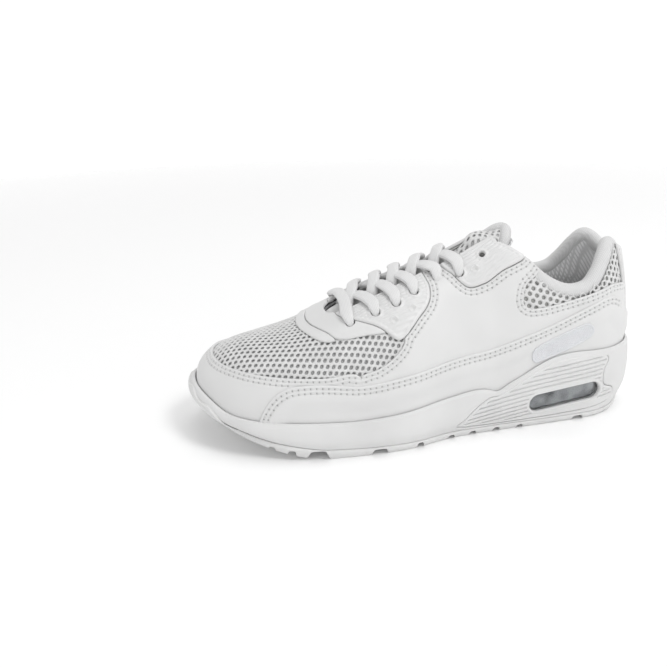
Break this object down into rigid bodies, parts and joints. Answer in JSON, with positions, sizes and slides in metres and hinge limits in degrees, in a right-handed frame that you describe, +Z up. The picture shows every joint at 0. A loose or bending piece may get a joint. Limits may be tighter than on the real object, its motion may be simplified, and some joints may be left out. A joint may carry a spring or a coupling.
{
  "type": "running shoe",
  "caption": "Low-cut lace-up running shoe for the left foot, with mesh and leather upper, padded collar and windowed heel cushion.",
  "frame": {"origin": "on the ground below the middle of the shoe's bounding box", "axes": "+X from toe to heel, +Z up, -Y towards the outer (lateral) side of the left foot"},
  "size_m": [0.2876, 0.104, 0.118],
  "materials": {
    "tread_rubber": "matte off-white moulded rubber",
    "midsole_foam": "matte off-white moulded foam with a fine skin",
    "clear_film": "clear glossy film",
    "fibre_board": "plain fibre board",
    "soft_foam": "open foam",
    "lining_knit": "light grey fine knit",
    "open_mesh": "off-white knit with staggered round holes",
    "lace_braid": "white flat braid",
    "ribbed_plastic": "satin white with fine ribs",
    "white_leather": "smooth coated white leather"
  },
  "bodies": {
    "shoe": {"outsole": "tread_rubber", "midsole": "midsole_foam", "window_frame_lateral": "ribbed_plastic", "window_frame_medial": "ribbed_plastic", "air_unit": "clear_film", "strobel_board": "fibre_board", "vamp_mesh": "open_mesh", "toe_puff": "fibre_board", "heel_counter": "fibre_board", "quarter_backing_lateral": "soft_foam", "collar_mesh_lateral": "open_mesh", "quarter_backing_medial": "soft_foam", "collar_mesh_medial": "open_mesh", "vamp_lining": "lining_knit", "quarter_lining_lateral": "lining_knit", "quarter_lining_medial": "lining_knit", "collar_lining": "lining_knit", "collar_padding": "soft_foam", "collar_binding": "lining_knit", "foxing_lateral": "white_leather", "eyestay_lower_lateral": "ribbed_plastic", "eyestay_upper_lateral": "ribbed_plastic", "quarter_lateral": "white_leather", "foxing_medial": "white_leather", "eyestay_lower_medial": "ribbed_plastic", "eyestay_upper_medial": "ribbed_plastic", "quarter_medial": "white_leather", "throat_piece": "white_leather", "throat_strip": "white_leather", "toe_mudguard": "white_leather", "heel_tab": "white_leather", "badge_lateral": "ribbed_plastic", "badge_medial": "ribbed_plastic", "lace": "lace_braid"},
    "tongue": {"tongue_leather": "white_leather", "tongue_mesh": "open_mesh", "tongue_foam": "soft_foam", "tongue_lining": "lining_knit"},
    "insole": {"insole": "lining_knit"}
  },
  "joints": [
    {"name": "tongue_press", "type": "hinge", "parent": "shoe", "child": "tongue", "pos_m": [-0.06274, 0.00139, 0.06], "axis": [0, 1, 0], "range_deg": [0, 8], "stiffness_Nm_per_rad": 0.25, "springref_deg": -5.73},
    {"name": "insole_lift", "type": "hinge", "parent": "shoe", "child": "insole", "pos_m": [-0.12974, 0.00139, 0.028], "axis": [0, -1, 0], "range_deg": [0, 3.5]}
  ]
}
